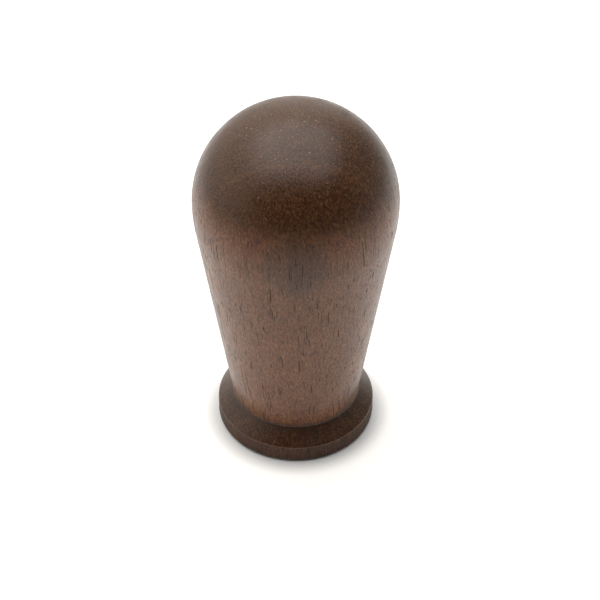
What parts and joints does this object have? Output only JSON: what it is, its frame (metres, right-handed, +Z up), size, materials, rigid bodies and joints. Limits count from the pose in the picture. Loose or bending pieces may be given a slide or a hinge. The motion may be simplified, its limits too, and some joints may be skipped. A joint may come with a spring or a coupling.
{
  "type": "tamper handle",
  "caption": "Turned walnut tamper handle: a ball head on a straight taper, a collared foot that stands flat, and a brass threaded insert in the foot for the base's screw.",
  "frame": {"origin": "centre of the foot's face, on the surface that the handle stands on", "axes": "+Z up the handle's axis towards the ball head; X and Y are free, since the outside is a body of revolution, and the insert's driving slot lies along X"},
  "size_m": [0.0423, 0.0422, 0.08],
  "materials": {
    "oiled_walnut": "satin oil over open pores",
    "machined_brass": "turned, bright"
  },
  "bodies": {
    "root": {"handle_body": "oiled_walnut", "threaded_insert": "machined_brass"}
  },
  "joints": []
}
